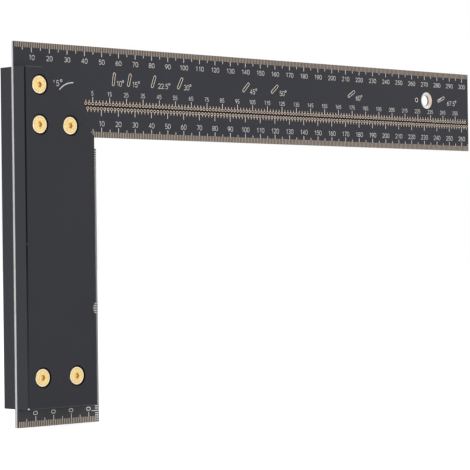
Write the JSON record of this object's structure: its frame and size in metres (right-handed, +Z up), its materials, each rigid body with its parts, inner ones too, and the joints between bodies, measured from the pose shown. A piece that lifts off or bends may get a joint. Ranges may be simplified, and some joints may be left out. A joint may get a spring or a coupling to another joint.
{
  "type": "carpenter square",
  "caption": "Fixed L-shaped square: a thin blade with fine scribing holes, angle slots and a hanging hole, clamped between thick stock plates that form its fence.",
  "frame": {"origin": "under the middle of the square's length, level with its foot, in the middle of the blade's thickness", "axes": "+X along the arm towards its tip, +Z up along the leg, -Y out of the front face with the screw heads"},
  "size_m": [0.305, 0.0168, 0.165],
  "materials": {
    "blade_coat": "satin black coated steel with bright cut edges",
    "stock_black": "fine matt black anodised",
    "screw_gold": "bright turned"
  },
  "bodies": {
    "root": {"blade": "blade_coat", "front_plate": "stock_black", "back_plate": "stock_black", "screw_1": "screw_gold", "screw_2": "screw_gold", "screw_3": "screw_gold", "screw_4": "screw_gold", "screw_5": "screw_gold"}
  },
  "joints": []
}
